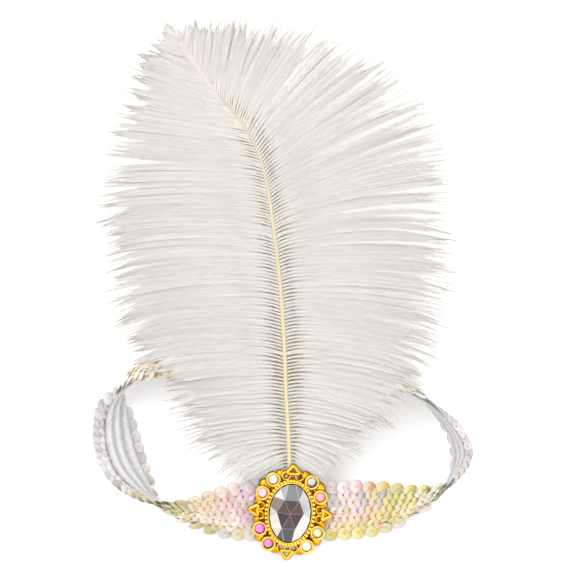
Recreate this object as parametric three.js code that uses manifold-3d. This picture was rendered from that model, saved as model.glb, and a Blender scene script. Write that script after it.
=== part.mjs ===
// Flapper headband as it lies on a table: a stretch sequin band, a gilt oval brooch and an ostrich plume.
// Millimetres, +Z up. The origin is on the table at the middle of the band's loop, and the brooch is at -Y.
import * as THREE from 'three';
import { mergeVertices } from 'three/addons/utils/BufferGeometryUtils.js';
import Module from 'manifold-3d';

const wasm = await Module();
wasm.setup();

// Driving dimensions
const tapeWidth = 20;
const tapeThickness = 1.0;
const ribDepth = 0.5;
const sequinWidth = 27;
const sequinThickness = 1.4;
const layerGap = 0.3;
const scallopCount = 62;
const scallopDepth = 1.3;
const bandStations = 2 * scallopCount;

const quillRadius = 1.0;
const quillTipRadius = 0.45;
const locksPerSide = 25;
const lockWidth = 15;
const lockThickness = 3.4;
const lockLeaveAngle = THREE.MathUtils.degToRad(48);

const broochTurn = THREE.MathUtils.degToRad(-4.5);
const broochBaseThickness = 3.4;
const crystalHalfWidth = 9;
const crystalHalfHeight = 12.75;
const bezelBeads = 30;
const cupRadius = 3.3;
const rimStoneRadius = 2.3;
const finialReachX = 18.8;
const finialReachY = 21.6;
const seatGap = 0.3;

// The band's plan, anticlockwise from the front centre: roll is how far the outer face turns up from upright.
const bandRows = [
  { x: 0, y: -32, roll: 74 },
  { x: 26, y: -32, roll: 72 },
  { x: 40, y: -31.2, roll: 56 },
  { x: 50, y: -30, roll: 36 },
  { x: 60, y: -27, roll: 18 },
  { x: 70, y: -20.5, roll: -4 },
  { x: 74.5, y: -9, roll: -18 },
  { x: 72.5, y: 0, roll: -11 },
  { x: 66.5, y: 8.7, roll: -3 },
  { x: 57, y: 18, roll: 12 },
  { x: 46, y: 24.5, roll: 32 },
  { x: 0, y: 32, roll: 50 },
  { x: -44, y: 32, roll: 46 },
  { x: -57.5, y: 31, roll: 33 },
  { x: -67, y: 27.5, roll: 24 },
  { x: -73.5, y: 21, roll: 8 },
  { x: -76.5, y: 11, roll: -33 },
  { x: -75.5, y: -3, roll: -50 },
  { x: -72, y: -13, roll: -47 },
  { x: -67, y: -20.5, roll: -33 },
  { x: -61, y: -27.5, roll: -12 },
  { x: -52, y: -32, roll: 9 },
  { x: -42, y: -33.6, roll: 26 },
  { x: -31, y: -33.4, roll: 50 },
  { x: -20, y: -32.5, roll: 72 },
];

// The plume's quill past the brooch, from the brooch's top point to the curled tip.
const quillRows = [
  { x: -0.4, y: -8, z: 14.6 },
  { x: -1.8, y: 19, z: 22.8 },
  { x: -2.8, y: 43, z: 28.5 },
  { x: -4.6, y: 67, z: 33.5 },
  { x: -6.8, y: 85, z: 36.5 },
  { x: -9.7, y: 105, z: 38 },
  { x: -14.1, y: 122, z: 38 },
  { x: -20.7, y: 134, z: 37 },
  { x: -34.8, y: 152, z: 34 },
  { x: -46.3, y: 169, z: 29 },
  { x: -54.4, y: 180, z: 25 },
];

// How far the barbs reach sideways, rise along the plume and lift at their tips, by where they leave the quill.
const vaneRows = [
  { y: -7, leftReach: 25, leftRise: -8, rightReach: 23, rightRise: -8, lift: -2 },
  { y: 2, leftReach: 42, leftRise: -8, rightReach: 32, rightRise: -10, lift: 2 },
  { y: 17, leftReach: 50, leftRise: -3, rightReach: 47, rightRise: -9, lift: 6 },
  { y: 27, leftReach: 51, leftRise: -1, rightReach: 55, rightRise: -7, lift: 5 },
  { y: 36, leftReach: 66, leftRise: 3, rightReach: 63, rightRise: -5, lift: 4 },
  { y: 57, leftReach: 77, leftRise: 0, rightReach: 77, rightRise: 1, lift: -3 },
  { y: 79, leftReach: 76, leftRise: 3, rightReach: 80, rightRise: 2, lift: -6 },
  { y: 102, leftReach: 73, leftRise: 3, rightReach: 83, rightRise: 12, lift: -8 },
  { y: 123, leftReach: 65, leftRise: 9, rightReach: 76, rightRise: 19, lift: -8 },
  { y: 135, leftReach: 55, leftRise: 9, rightReach: 57, rightRise: 33, lift: -8 },
  { y: 148, leftReach: 38, leftRise: 10, rightReach: 29, rightRise: 37, lift: -8 },
  { y: 160, leftReach: 24, leftRise: 9, rightReach: 12, rightRise: 27, lift: -7 },
  { y: 175, leftReach: 9, leftRise: 7, rightReach: 3, rightRise: 12, lift: -2 },
];

// One corner of the brooch holds two stone cups; the other three corners mirror it.
const cupRows = [
  { x: 8.4, y: 14.2 },
  { x: 12.6, y: 7.9 },
];

const up = new THREE.Vector3(0, 0, 1);

// A closed body through rings of points: a loop joins the last ring to the first, otherwise both ends are capped.
function loft(rings, loop = false) {
  const ringSize = rings[0].length;
  const positions = rings.flat().flatMap((point) => point.toArray());
  const index = [];
  const steps = loop ? rings.length : rings.length - 1;
  for (let i = 0; i < steps; i += 1) {
    const here = i * ringSize;
    const next = ((i + 1) % rings.length) * ringSize;
    for (let j = 0; j < ringSize; j += 1) {
      const k = (j + 1) % ringSize;
      index.push(here + j, here + k, next + k, here + j, next + k, next + j);
    }
  }
  if (!loop) {
    const last = (rings.length - 1) * ringSize;
    for (let j = 1; j < ringSize - 1; j += 1) {
      index.push(0, j + 1, j, last, last + j, last + j + 1);
    }
  }
  const geometry = new THREE.BufferGeometry();
  geometry.setAttribute('position', new THREE.Float32BufferAttribute(positions, 3));
  geometry.setIndex(index);
  return facingOut(geometry);
}

// Turns a closed geometry's triangles round where it is inside out.
function facingOut(geometry) {
  const position = geometry.getAttribute('position');
  const index = geometry.getIndex().array;
  const [a, b, c] = [new THREE.Vector3(), new THREE.Vector3(), new THREE.Vector3()];
  let volume = 0;
  for (let i = 0; i < index.length; i += 3) {
    a.fromBufferAttribute(position, index[i]);
    b.fromBufferAttribute(position, index[i + 1]);
    c.fromBufferAttribute(position, index[i + 2]);
    volume += a.dot(b.cross(c));
  }
  if (volume < 0) {
    geometry.setIndex(Array.from(index).reverse());
  }
  return geometry;
}

function toSolid(geometry) {
  const bare = geometry.clone();
  bare.deleteAttribute('normal');
  bare.deleteAttribute('uv');
  const merged = mergeVertices(bare, 1e-4);
  return new wasm.Manifold(new wasm.Mesh({
    numProp: 3,
    vertProperties: new Float32Array(merged.getAttribute('position').array),
    triVerts: new Uint32Array(merged.getIndex().array),
  }));
}

function toGeometry(solid) {
  const mesh = solid.getMesh();
  const geometry = new THREE.BufferGeometry();
  geometry.setAttribute('position', new THREE.BufferAttribute(new Float32Array(mesh.vertProperties), 3));
  geometry.setIndex(Array.from(mesh.triVerts));
  return geometry;
}

function joined(geometries) {
  return geometries.map(toSolid).reduce((whole, piece) => whole.add(piece));
}

// A table's row at a given key, eased between its neighbours.
function rowAt(rows, key, value) {
  const last = rows.length - 1;
  const upper = Math.min(last, Math.max(1, rows.findIndex((row) => row[key] >= value)));
  const next = value >= rows[last][key] ? last : upper;
  const [before, after] = [rows[next - 1], rows[next]];
  const share = THREE.MathUtils.clamp((value - before[key]) / (after[key] - before[key]), 0, 1);
  const blended = {};
  for (const column of Object.keys(before)) {
    blended[column] = THREE.MathUtils.lerp(before[column], after[column], share);
  }
  return blended;
}

// The band
const bandThickness = tapeThickness + layerGap + sequinThickness;
const bandPath = new THREE.CatmullRomCurve3(
  bandRows.map((row) => new THREE.Vector3(row.x, row.y, 0)), true, 'centripetal');
const bandRoll = new THREE.CatmullRomCurve3(
  bandRows.map((row) => new THREE.Vector3(row.roll, 0, 0)), true, 'catmullrom', 0.4);

// The band's middle, its outer face's direction and its direction across, at a share of the way round.
function bandFrame(share) {
  const ahead = 1e-3;
  const here = bandPath.getPoint(share);
  const tangent = bandPath.getPoint((share + ahead) % 1).sub(bandPath.getPoint((share + 1 - ahead) % 1)).normalize();
  const roll = THREE.MathUtils.degToRad(bandRoll.getPoint(share).x);
  const outward = new THREE.Vector3().crossVectors(tangent, up);
  const face = outward.clone().multiplyScalar(Math.cos(roll)).addScaledVector(up, Math.sin(roll));
  const across = up.clone().multiplyScalar(Math.cos(roll)).addScaledVector(outward, -Math.sin(roll));
  const height = 0.5 * sequinWidth * Math.cos(roll) + 0.5 * bandThickness * Math.abs(Math.sin(roll));
  here.z = height + ribDepth * Math.abs(Math.sin(roll));
  return { here, face, across };
}

// A ring of the band's section: across runs over the band's width and out through its thickness.
function bandRing(share, section) {
  const { here, face, across } = bandFrame(share);
  return section.map(({ acrossAt, out }) => here.clone()
    .addScaledVector(across, acrossAt)
    .addScaledVector(face, out - 0.5 * bandThickness));
}

function makeTape() {
  const half = 0.5 * tapeWidth;
  const section = [
    { acrossAt: -half, out: tapeThickness },
    { acrossAt: 0, out: tapeThickness },
    { acrossAt: half, out: tapeThickness },
    { acrossAt: 0.92 * half, out: 0 },
    { acrossAt: 0.4 * half, out: -ribDepth },
    { acrossAt: 0, out: 0 },
    { acrossAt: -0.4 * half, out: -ribDepth },
    { acrossAt: -0.92 * half, out: 0 },
  ];
  const rings = [];
  for (let i = 0; i < bandStations; i += 1) {
    rings.push(bandRing(i / bandStations, section));
  }
  return loft(rings, true);
}

function makeSequinFace() {
  const inner = tapeThickness + layerGap;
  const rings = [];
  for (let i = 0; i < bandStations; i += 1) {
    const half = 0.5 * sequinWidth - (i % 2 === 0 ? 0 : scallopDepth);
    rings.push(bandRing(i / bandStations, [
      { acrossAt: -half, out: inner },
      { acrossAt: 0, out: inner },
      { acrossAt: half, out: inner },
      { acrossAt: half, out: inner + 0.5 * sequinThickness },
      { acrossAt: 0.5 * half, out: inner + sequinThickness },
      { acrossAt: -0.5 * half, out: inner + sequinThickness },
      { acrossAt: -half, out: inner + 0.5 * sequinThickness },
    ]));
  }
  return loft(rings, true);
}

// The brooch sits on the sequin face at the front centre
const front = bandFrame(0);
const broochTilt = Math.atan2(front.across.z, front.across.y);
const broochSeat = front.here.clone().addScaledVector(front.face, 0.5 * bandThickness + seatGap);
const quillHeight = quillRadius + seatGap;

function onBrooch(y, z) {
  return broochSeat.clone().addScaledVector(front.across, y).addScaledVector(front.face, z);
}

// The plume
const quillCurve = new THREE.CatmullRomCurve3([
  onBrooch(-6, quillHeight),
  onBrooch(8, quillHeight),
  ...quillRows.map((row) => new THREE.Vector3(row.x, row.y, row.z)),
]);

// The share of the quill's curve that lies at a given y, which rises all along it.
function quillShare(y) {
  let [low, high] = [0, 1];
  for (let i = 0; i < 24; i += 1) {
    const middle = 0.5 * (low + high);
    if (quillCurve.getPoint(middle).y < y) low = middle;
    else high = middle;
  }
  return low;
}

function makeQuill() {
  const sides = 6;
  const steps = 26;
  const rings = [];
  for (let i = 0; i <= steps; i += 1) {
    const share = i / steps;
    const here = quillCurve.getPoint(share);
    const tangent = quillCurve.getTangent(share);
    const side = new THREE.Vector3().crossVectors(tangent, up).normalize();
    const lift = new THREE.Vector3().crossVectors(side, tangent);
    const radius = THREE.MathUtils.lerp(quillRadius, quillTipRadius, share);
    const ring = [];
    for (let j = 0; j < sides; j += 1) {
      const angle = (2 * Math.PI * j) / sides;
      ring.push(here.clone()
        .addScaledVector(side, radius * Math.cos(angle))
        .addScaledVector(lift, radius * Math.sin(angle)));
    }
    rings.push(ring);
  }
  return loft(rings);
}

// One lock of barbs: a flat tapered strip that leaves the quill forwards and bends out and down to its tip.
function makeLock(rootY, direction, raise) {
  const row = rowAt(vaneRows, 'y', rootY);
  const share = quillShare(rootY);
  const root = quillCurve.getPoint(share);
  const tangent = quillCurve.getTangent(share);
  const [reach, rise] = direction < 0 ? [row.leftReach, row.leftRise] : [row.rightReach, row.rightRise];
  const sideways = new THREE.Vector3(direction, 0, 0).addScaledVector(tangent, -direction * tangent.x).normalize();
  const leave = tangent.clone().multiplyScalar(Math.cos(lockLeaveAngle))
    .addScaledVector(sideways, Math.sin(lockLeaveAngle));
  const tip = new THREE.Vector3(root.x + direction * reach, root.y + rise, root.z + row.lift);
  const bend = root.clone().addScaledVector(leave, 0.42 * Math.hypot(reach, rise));
  bend.z = root.z + 0.1 * row.lift + raise;
  const path = new THREE.QuadraticBezierCurve3(root, bend, tip);
  const size = THREE.MathUtils.clamp(reach / 32, 0.45, 1);
  const steps = 5;
  const rings = [];
  for (let i = 0; i <= steps; i += 1) {
    const at = i / steps;
    const here = path.getPoint(at);
    const along = path.getTangent(at);
    const wide = new THREE.Vector3().crossVectors(up, along).normalize();
    const full = Math.pow(1 - at * at, 0.6) * (0.35 + 0.85 * at);
    const width = size * Math.max(0.5, 0.5 * lockWidth * full);
    const thick = size * Math.max(0.35, 0.5 * lockThickness * (1 - 0.75 * at));
    rings.push([
      here.clone().addScaledVector(wide, width),
      here.clone().addScaledVector(up, thick),
      here.clone().addScaledVector(wide, -width),
      here.clone().addScaledVector(up, -thick),
    ]);
  }
  return loft(rings);
}

function makePlume() {
  const firstRoot = vaneRows[0].y;
  const lastRoot = vaneRows[vaneRows.length - 1].y;
  const pieces = [makeQuill()];
  for (let i = 0; i < locksPerSide; i += 1) {
    const rootY = THREE.MathUtils.lerp(firstRoot, lastRoot, i / (locksPerSide - 1));
    const raise = i % 2 === 0 ? 0.5 : -0.5;
    pieces.push(makeLock(rootY, -1, raise), makeLock(rootY, 1, -raise));
  }
  return toGeometry(joined(pieces));
}

// The brooch, drawn flat with +Z out of its face
function ellipseRing(halfX, halfY, z, sides) {
  const ring = [];
  for (let j = 0; j < sides; j += 1) {
    const angle = (2 * Math.PI * (j + 0.5)) / sides;
    ring.push(new THREE.Vector3(halfX * Math.cos(angle), halfY * Math.sin(angle), z));
  }
  return ring;
}

function ovalPlate(halfX, halfY, low, high, sides) {
  return loft([ellipseRing(halfX, halfY, low, sides), ellipseRing(halfX, halfY, high, sides)]);
}

function roundPlate(x, y, radius, low, high, sides) {
  return ovalPlate(radius, radius, low, high, sides).translate(x, y, 0);
}

// A lozenge standing along a finial's direction, as a flat bar from low to high.
function lozenge(x, y, halfX, halfY, low, high) {
  const shape = new THREE.Shape([
    new THREE.Vector2(x + halfX, y),
    new THREE.Vector2(x, y + halfY),
    new THREE.Vector2(x - halfX, y),
    new THREE.Vector2(x, y - halfY),
  ]);
  return new THREE.ExtrudeGeometry(shape, { depth: high - low, bevelEnabled: false }).translate(0, 0, low);
}

// The bezel's beaded ring: its section swells once for each bead.
function beadedBezel(halfX, halfY, low, high) {
  const stations = 2 * bezelBeads;
  const rings = [];
  for (let i = 0; i < stations; i += 1) {
    const angle = (2 * Math.PI * i) / stations;
    const swell = i % 2 === 0 ? 0.35 : 0;
    const outer = 1.15 + swell;
    const [cos, sin] = [Math.cos(angle), Math.sin(angle)];
    const at = (grow, z) => new THREE.Vector3((halfX + grow) * cos, (halfY + grow) * sin, z);
    rings.push([at(0, low), at(outer, low), at(outer, high - 0.7), at(0.6 * outer, high + 0.5 * swell), at(0, high - 0.4)]);
  }
  return loft(rings, true);
}

const cornerSigns = [[-1, 1], [1, 1], [1, -1], [-1, -1]];
const cupPlaces = cornerSigns.flatMap(([signX, signY]) => cupRows.map((cup) => ({ x: signX * cup.x, y: signY * cup.y })));
const cupHeight = 4.6;
const cupFloor = 2.6;
const bezelInnerX = crystalHalfWidth + seatGap;
const bezelInnerY = crystalHalfHeight + seatGap;
const crystalSeat = broochBaseThickness;
const filigreeLow = 0.9;
const filigreeHigh = 3.2;

function makeSetting() {
  const bars = [
    ovalPlate(bezelInnerX + 1.6, bezelInnerY + 1.6, 0, broochBaseThickness - seatGap, 36),
    beadedBezel(bezelInnerX, bezelInnerY, broochBaseThickness - 0.8, broochBaseThickness + 2.2),
  ];
  for (const { x, y } of cupPlaces) {
    bars.push(roundPlate(x, y, cupRadius, 0.4, cupHeight, 14));
  }
  const holes = [];
  for (const sign of [-1, 1]) {
    bars.push(lozenge(0, sign * (finialReachY - 3.1), 2.9, 3.1, filigreeLow, filigreeHigh));
    bars.push(lozenge(sign * (finialReachX - 2.9), 0, 2.9, 2.8, filigreeLow, filigreeHigh));
    holes.push(lozenge(0, sign * (finialReachY - 3.0), 1.0, 1.3, 0, 6));
    holes.push(lozenge(sign * (finialReachX - 2.7), 0, 1.1, 1.0, 0, 6));
    for (const twin of [-1, 1]) {
      bars.push(roundPlate(twin * 2.8, sign * 16.2, 2.3, filigreeLow, filigreeHigh, 12));
      bars.push(roundPlate(sign * 13.0, twin * 2.1, 2.2, filigreeLow, filigreeHigh, 12));
      holes.push(roundPlate(twin * 2.9, sign * 16.5, 0.95, 0, 6, 8));
      holes.push(roundPlate(sign * 13.4, twin * 2.15, 0.9, 0, 6, 8));
      bars.push(roundPlate(twin * 4.9, sign * 17.4, 1.0, filigreeLow, filigreeHigh + 0.4, 8));
      bars.push(roundPlate(sign * 14.4, twin * 4.3, 1.0, filigreeLow, filigreeHigh + 0.4, 8));
      bars.push(roundPlate(twin * 12.4, sign * 11.9, 1.1, filigreeLow, filigreeHigh + 0.4, 8));
    }
  }
  for (const { x, y } of cupPlaces) {
    holes.push(roundPlate(x, y, rimStoneRadius + seatGap, cupFloor - seatGap, 6, 14));
  }
  const channelHalf = quillRadius + 0.5;
  const channelTop = quillHeight + quillRadius + seatGap;
  const channel = new THREE.BoxGeometry(2 * channelHalf, 40, 2 * channelTop).translate(0, 12.5, 0);
  channel.rotateZ(-broochTurn);
  return toGeometry(joined(bars).subtract(joined([...holes, channel])));
}

// The crystal's cut: a six-sided table, a crown down to a twelve-sided girdle, and a shallow flat back.
function makeCrystal() {
  const girdleSides = 12;
  const girdleLow = crystalSeat + 0.5;
  const girdleHigh = crystalSeat + 1.6;
  const tableHeight = crystalSeat + 4.8;
  const girdleRing = (scale, z) => {
    const ring = [];
    for (let j = 0; j < girdleSides; j += 1) {
      const angle = (2 * Math.PI * j) / girdleSides;
      const swing = j % 2 === 0 ? 0.985 : 1;
      ring.push(new THREE.Vector3(scale * swing * crystalHalfWidth * Math.cos(angle),
        scale * swing * crystalHalfHeight * Math.sin(angle), z));
    }
    return ring;
  };
  const crown = girdleRing(0.58, tableHeight);
  for (let j = 1; j < girdleSides; j += 2) {
    const [before, after] = [crown[j - 1], crown[(j + 1) % girdleSides]];
    crown[j].addVectors(before, after).multiplyScalar(0.5);
  }
  return loft([girdleRing(0.8, crystalSeat), girdleRing(1, girdleLow), girdleRing(1, girdleHigh), crown]);
}

function makeRimStone({ x, y }) {
  const sides = 8;
  const rings = [
    ellipseRing(0.7 * rimStoneRadius, 0.7 * rimStoneRadius, cupFloor, sides),
    ellipseRing(rimStoneRadius, rimStoneRadius, cupFloor + 0.9, sides),
    ellipseRing(rimStoneRadius, rimStoneRadius, cupFloor + 1.2, sides),
    ellipseRing(0.55 * rimStoneRadius, 0.55 * rimStoneRadius, cupFloor + 2.4, sides),
  ];
  return loft(rings).translate(x, y, 0);
}

// Materials, from the photograph's colours
const finish = (color, roughness, metalness) => new THREE.MeshStandardMaterial({ color, roughness, metalness });
const tapeWhite = finish(0xe9e7ea, 0.85, 0);
const sequinPearl = finish(0xf2e2d2, 0.2, 0.1);
const plumeWhite = finish(0xf1eeea, 0.9, 0);
const gilt = finish(0xd9a021, 0.28, 1);
const clearStone = finish(0xcfd3d8, 0.05, 0.2);
const rimColours = [0xf1ebe6, 0xf2c9cd, 0xc9ccd0, 0xf0a9b4, 0xf4f2ee, 0xd6d8bf, 0xd99ab8, 0xe58be0];

function piece(name, geometry, material) {
  geometry.computeVertexNormals();
  const mesh = new THREE.Mesh(geometry, material);
  mesh.name = name;
  return mesh;
}

const headband = new THREE.Group();
headband.add(piece('elastic_tape', makeTape(), tapeWhite));
headband.add(piece('sequin_face', makeSequinFace(), sequinPearl));
headband.add(piece('plume', makePlume(), plumeWhite));

const broochSlope = new THREE.Group();
broochSlope.position.copy(broochSeat);
broochSlope.rotation.x = broochTilt;
const brooch = new THREE.Group();
brooch.rotation.z = broochTurn;
brooch.add(piece('brooch_setting', makeSetting(), gilt));
brooch.add(piece('crystal', makeCrystal(), clearStone));
cupPlaces.forEach((place, i) => {
  brooch.add(piece(`rim_stone_${i + 1}`, makeRimStone(place), finish(rimColours[i], 0.1, 0.1)));
});
broochSlope.add(brooch);
headband.add(broochSlope);

export default headband;
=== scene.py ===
# Flapper headband lying on a pale table: sequin band, gilt brooch and ostrich plume
import math
import random

import bpy
import numpy as np
from mathutils import Matrix, Vector


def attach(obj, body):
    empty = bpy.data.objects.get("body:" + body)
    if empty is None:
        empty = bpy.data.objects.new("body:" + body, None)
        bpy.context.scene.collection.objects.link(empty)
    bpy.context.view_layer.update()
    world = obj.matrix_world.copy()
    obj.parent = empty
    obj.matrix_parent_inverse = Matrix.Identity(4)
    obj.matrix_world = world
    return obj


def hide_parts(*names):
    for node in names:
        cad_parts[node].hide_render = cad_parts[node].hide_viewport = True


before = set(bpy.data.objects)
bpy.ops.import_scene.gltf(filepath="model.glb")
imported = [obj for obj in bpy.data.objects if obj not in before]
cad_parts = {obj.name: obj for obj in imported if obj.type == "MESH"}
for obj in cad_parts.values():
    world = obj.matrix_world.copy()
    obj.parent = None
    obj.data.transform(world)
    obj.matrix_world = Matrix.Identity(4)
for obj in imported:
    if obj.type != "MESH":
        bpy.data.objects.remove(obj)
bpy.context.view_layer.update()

mm = 0.001
up = Vector((0, 0, 1))
creaseAngle = math.radians(40)  # edges sharper than this stay crisp


# Small helpers

def hexColour(text):
    parts = [int(text[i:i + 2], 16) / 255 for i in (1, 3, 5)]
    return [c / 12.92 if c <= 0.04045 else ((c + 0.055) / 1.055) ** 2.4 for c in parts] + [1.0]


def addNode(tree, kind, settings=None, links=None):
    node = tree.nodes.new(kind)
    for key, value in (settings or {}).items():
        if isinstance(key, int) or key in node.inputs:
            node.inputs[key].default_value = value
        else:
            setattr(node, key, value)
    for key, source in (links or {}).items():
        tree.links.new(source, node.inputs[key])
    return node


def newMaterial(name):
    material = bpy.data.materials.new(name)
    material.use_nodes = True
    material.node_tree.nodes.clear()
    return material, material.node_tree


def closeMaterial(tree, shader):
    addNode(tree, "ShaderNodeOutputMaterial", links={"Surface": shader.outputs["BSDF"]})


def smooth(value, low, high):
    part = np.clip((value - low) / (high - low), 0, 1)
    return part * part * (3 - 2 * part)


def deselect():
    bpy.ops.object.select_all(action="DESELECT")


def pick(piece):
    deselect()
    bpy.context.view_layer.objects.active = piece
    piece.select_set(True)


def pickTopFaces(piece, leastUp):  # leaves edit mode on, with only the faces that look up selected
    bpy.ops.object.mode_set(mode="EDIT")
    bpy.ops.mesh.select_all(action="DESELECT")
    bpy.ops.object.mode_set(mode="OBJECT")
    for face in piece.data.polygons:
        face.select = face.normal.z > leastUp
    bpy.ops.object.mode_set(mode="EDIT")
    bpy.ops.mesh.select_mode(type="FACE")


def wear(piece, material):
    piece.data.materials.clear()
    piece.data.materials.append(material)


def putOn(piece, slotName, *nodes):  # rides on the one body and stands for its CAD nodes; its slot name is not used
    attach(piece, "root")
    if nodes:
        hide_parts(*nodes)


def wrapGrid(name, alongSteps, aroundSteps, place):  # a flat grid rolled up, each point set by place(u, v)
    deselect()
    bpy.ops.mesh.primitive_grid_add(x_subdivisions=alongSteps, y_subdivisions=aroundSteps, size=1)
    piece = bpy.context.object
    piece.name = name
    for vert in piece.data.vertices:
        vert.co = place(vert.co.x + 0.5, vert.co.y + 0.5)
    bpy.ops.object.mode_set(mode="EDIT")
    bpy.ops.mesh.select_all(action="SELECT")
    bpy.ops.mesh.remove_doubles(threshold=0.002 * mm)
    bpy.ops.mesh.normals_make_consistent(inside=False)
    bpy.ops.object.mode_set(mode="OBJECT")
    bpy.ops.object.shade_smooth()
    return piece


def meshFromArrays(name, points, faces):
    mesh = bpy.data.meshes.new(name)
    mesh.from_pydata(points.tolist(), [], faces.tolist())
    mesh.update()
    piece = bpy.data.objects.new(name, mesh)
    bpy.context.scene.collection.objects.link(piece)
    return piece


def paintPoints(piece, name, colours):  # one colour for each point, which the material reads by its name
    layer = piece.data.color_attributes.new(name, "FLOAT_COLOR", "POINT")
    rows = np.concatenate([colours, np.ones((len(colours), 1))], 1)
    layer.data.foreach_set("color", rows.astype(np.float32).ravel())


# The band's route, the same rows as the solid has: plan place in mm and how far the outer face rolls up

band = {
    "tapeWidth": 19.5, "tapeThickness": 1.0, "ribDepth": 0.5, "sequinWidth": 27, "thickness": 2.7,
    "rollPull": 0.4,  # how strongly the rows beside one steer its roll
    "rows": [
        (0, -32, 74), (26, -32, 72), (40, -31.2, 56), (50, -30, 36), (60, -27, 18),
        (70, -20.5, -4), (74.5, -9, -18), (72.5, 0, -11), (66.5, 8.7, -3), (57, 18, 12),
        (46, 24.5, 32), (0, 32, 50), (-44, 32, 46), (-57.5, 31, 33), (-67, 27.5, 24),
        (-73.5, 21, 8), (-76.5, 11, -33), (-75.5, -3, -50), (-72, -13, -47), (-67, -20.5, -33),
        (-61, -27.5, -12), (-52, -32, 9), (-42, -33.6, 26), (-31, -33.4, 50), (-20, -32.5, 72),
    ],
}


def curvePoint(points, share, closed):  # centripetal curve through the points, the same as the solid's
    count = len(points)
    spot = (share % 1) * count if closed else min(max(share, 0), 1) * (count - 1)
    first = int(spot) if closed else min(int(spot), count - 2)
    t = spot - first
    if closed:
        p = [points[(first + k) % count] for k in (-1, 0, 1, 2)]
    else:
        ahead = points[first + 2] if first + 2 < count else 2 * points[-1] - points[-2]
        behind = points[first - 1] if first > 0 else 2 * points[0] - points[1]
        p = [behind, points[first], points[first + 1], ahead]
    d = [(p[k + 1] - p[k]).length ** 0.5 for k in range(3)]
    leave = ((p[1] - p[0]) / d[0] - (p[2] - p[0]) / (d[0] + d[1]) + (p[2] - p[1]) / d[1]) * d[1]
    arrive = ((p[2] - p[1]) / d[1] - (p[3] - p[1]) / (d[1] + d[2]) + (p[3] - p[2]) / d[2]) * d[1]
    square = 3 * (p[2] - p[1]) - 2 * leave - arrive
    cube = 2 * (p[1] - p[2]) + leave + arrive
    return p[1] + leave * t + square * t * t + cube * t * t * t


bandPlan = [Vector(row[:2]) for row in band["rows"]]


def bandPoint(share):
    return curvePoint(bandPlan, share, True)


def bandRoll(share):
    rows = band["rows"]
    spot = (share % 1) * len(rows)
    first = int(spot)
    t = spot - first
    r = [rows[(first + k) % len(rows)][2] for k in (-1, 0, 1, 2)]
    leave, arrive = band["rollPull"] * (r[2] - r[0]), band["rollPull"] * (r[3] - r[1])
    square = 3 * (r[2] - r[1]) - 2 * leave - arrive
    cube = 2 * (r[1] - r[2]) + leave + arrive
    return math.radians(r[1] + leave * t + square * t * t + cube * t * t * t)


def bandFrame(share):
    plan, nudge = bandPoint(share), 0.001
    tangent = (bandPoint(share + nudge) - bandPoint(share - nudge)).normalized()
    roll = bandRoll(share)
    outward = Vector((tangent.y, -tangent.x, 0))
    face = outward * math.cos(roll) + up * math.sin(roll)
    across = up * math.cos(roll) - outward * math.sin(roll)
    height = 0.5 * band["sequinWidth"] * math.cos(roll)
    height += (0.5 * band["thickness"] + band["ribDepth"]) * abs(math.sin(roll))
    return Vector((plan.x, plan.y, height)), face, across, Vector((tangent.x, tangent.y, 0))


def onBand(share, acrossAt, out):  # mm across and out from the tape's inner face, as a point in metres
    here, face, across, _ = bandFrame(share)
    return (here + across * acrossAt + face * (out - 0.5 * band["thickness"])) * mm


routeSteps = 1000
routePoints = [bandPoint(i / routeSteps) for i in range(routeSteps + 1)]
routeGaps = [(b - a).length for a, b in zip(routePoints, routePoints[1:])]
routeLengths = np.concatenate([[0], np.cumsum(routeGaps)])
bandLength = float(routeLengths[-1])


def shareAt(distance):  # the share of the route that lies a distance in mm round the band
    return float(np.interp(distance % bandLength, routeLengths, np.linspace(0, 1, routeSteps + 1)))


# Elastic tape

tape = {
    "alongSteps": 520, "aroundSteps": 48, "innerShare": 0.7,
    "pucker": 0.07, "puckerPitch": 2.3, "puckerSlant": 2,  # mm deep, mm apart, and how far they lean
    "gather": (3.0, 1.5), "standRolls": (-8, 14),  # mm drawn in at the top and bottom edge where it stands
    "edgeOut": 0.45, "faceSink": 0.2, "edgeSlope": 9, "edgeRound": 12,  # rolled edges, the inner face sunk
    "ribs": 3, "ribBoost": 1.25, "ribPaintedLight": 0.38,  # a little deeper than the solid's, with a painted highlight on the crests and painted shade in the grooves
}


def tapeSection(v):  # once round the tape: the ribbed inner face, then the flat outer one
    half, inner = 0.5 * band["tapeWidth"], tape["innerShare"]
    if v < inner:
        side = 1 - 2 * v / inner
        rib = 0.5 - 0.5 * math.cos(2 * math.pi * tape["ribs"] * (side * 0.5 + 0.5))
        edge = min(1, (1 - abs(side)) * tape["edgeSlope"])
        face = tape["edgeOut"] - tape["faceSink"] * edge
        return side * half, face - band["ribDepth"] * tape["ribBoost"] * rib * edge, True
    side = -1 + 2 * (v - inner) / (1 - inner)
    return side * half, band["tapeThickness"] - tape["edgeOut"] * abs(side) ** tape["edgeRound"], False


def tapePlace(u, v):
    acrossAt, out, inner = tapeSection(v % 1)
    stands = 1 - smooth(math.degrees(bandRoll(u % 1)), *tape["standRolls"])
    acrossAt *= 1 - stands * tape["gather"][0 if acrossAt > 0 else 1] / (0.5 * band["tapeWidth"])
    if inner:  # the elastic gathers the cloth into fine cross puckers
        puckers = round(bandLength / tape["puckerPitch"])
        out += tape["pucker"] * math.sin(2 * math.pi * puckers * u + tape["puckerSlant"] * acrossAt)
    return onBand(u % 1, acrossAt, out)


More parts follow.
